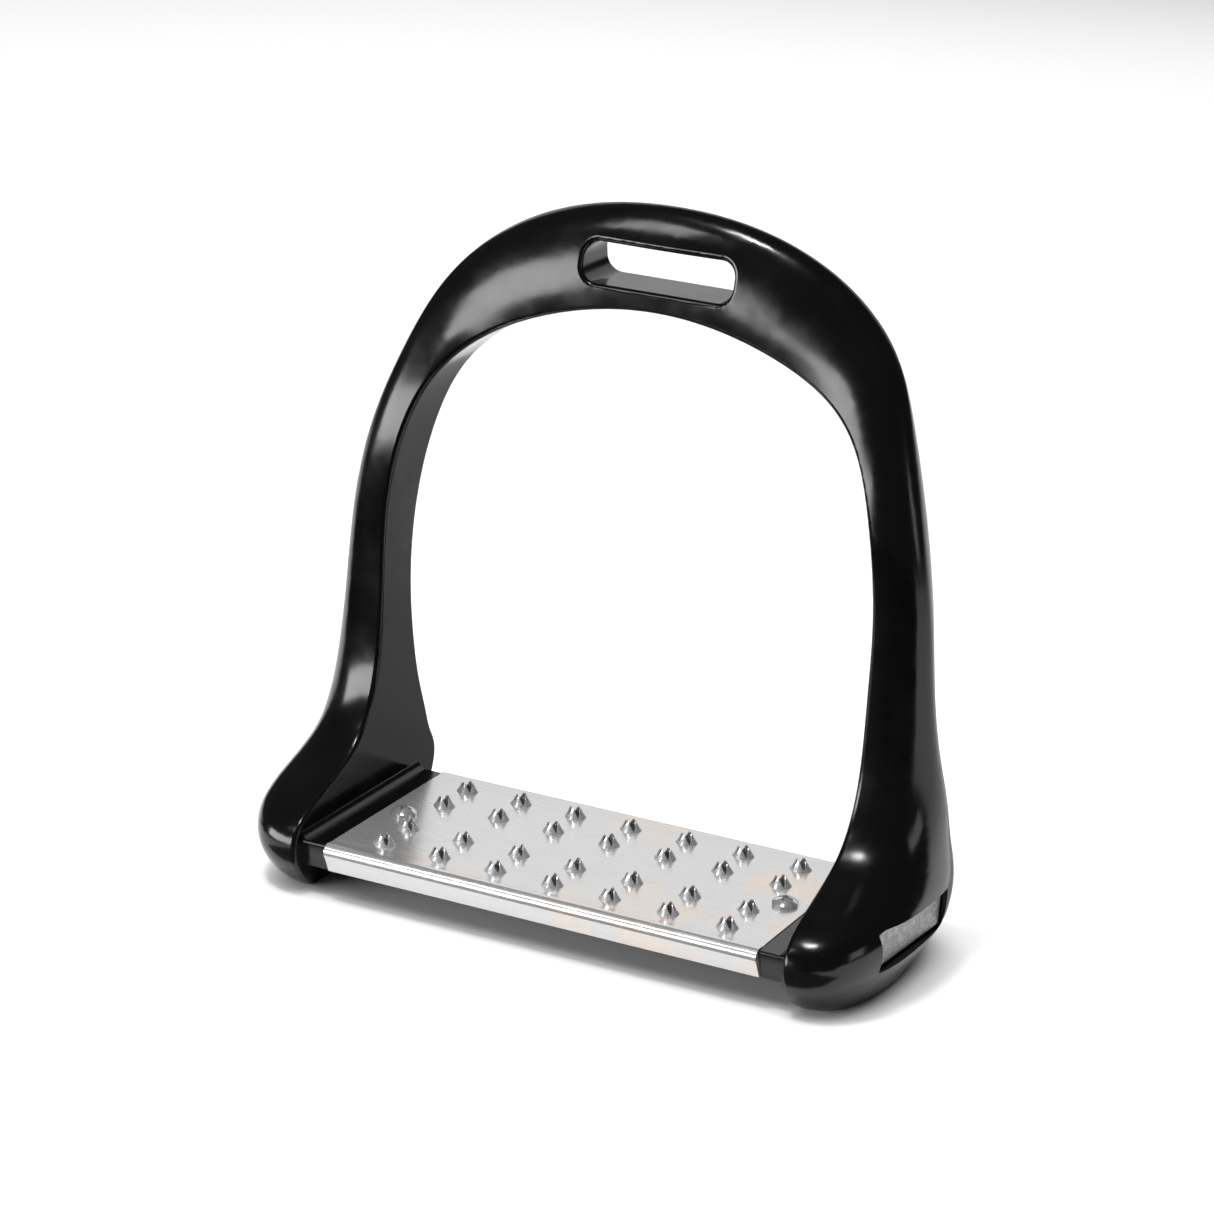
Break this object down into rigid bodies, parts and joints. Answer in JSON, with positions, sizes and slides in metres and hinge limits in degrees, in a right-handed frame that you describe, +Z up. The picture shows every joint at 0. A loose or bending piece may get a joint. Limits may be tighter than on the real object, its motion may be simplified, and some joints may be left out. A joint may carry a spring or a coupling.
{
  "type": "stirrup iron",
  "caption": "Rigid cast riding stirrup with a broad platform, a screwed-on steel tread plate with raised gripping burrs and a leather slot in the crown.",
  "frame": {"origin": "centre of the object's bounding box, on the floor plane that the soles of the feet stand on", "axes": "+X runs along the tread to the rider's right, +Y to the back, +Z up through the leather slot"},
  "size_m": [0.1584, 0.0638, 0.1575],
  "materials": {
    "enamel": "gloss black enamel on cast aluminium",
    "tread_steel": "lightly polished stainless sheet",
    "screw_metal": "bright plated",
    "inlay_metal": "fine textured silver"
  },
  "bodies": {
    "root": {"frame": "enamel", "tread_plate": "tread_steel", "left_screw": "screw_metal", "right_screw": "screw_metal", "left_inlay": "inlay_metal", "right_inlay": "inlay_metal"}
  },
  "joints": []
}
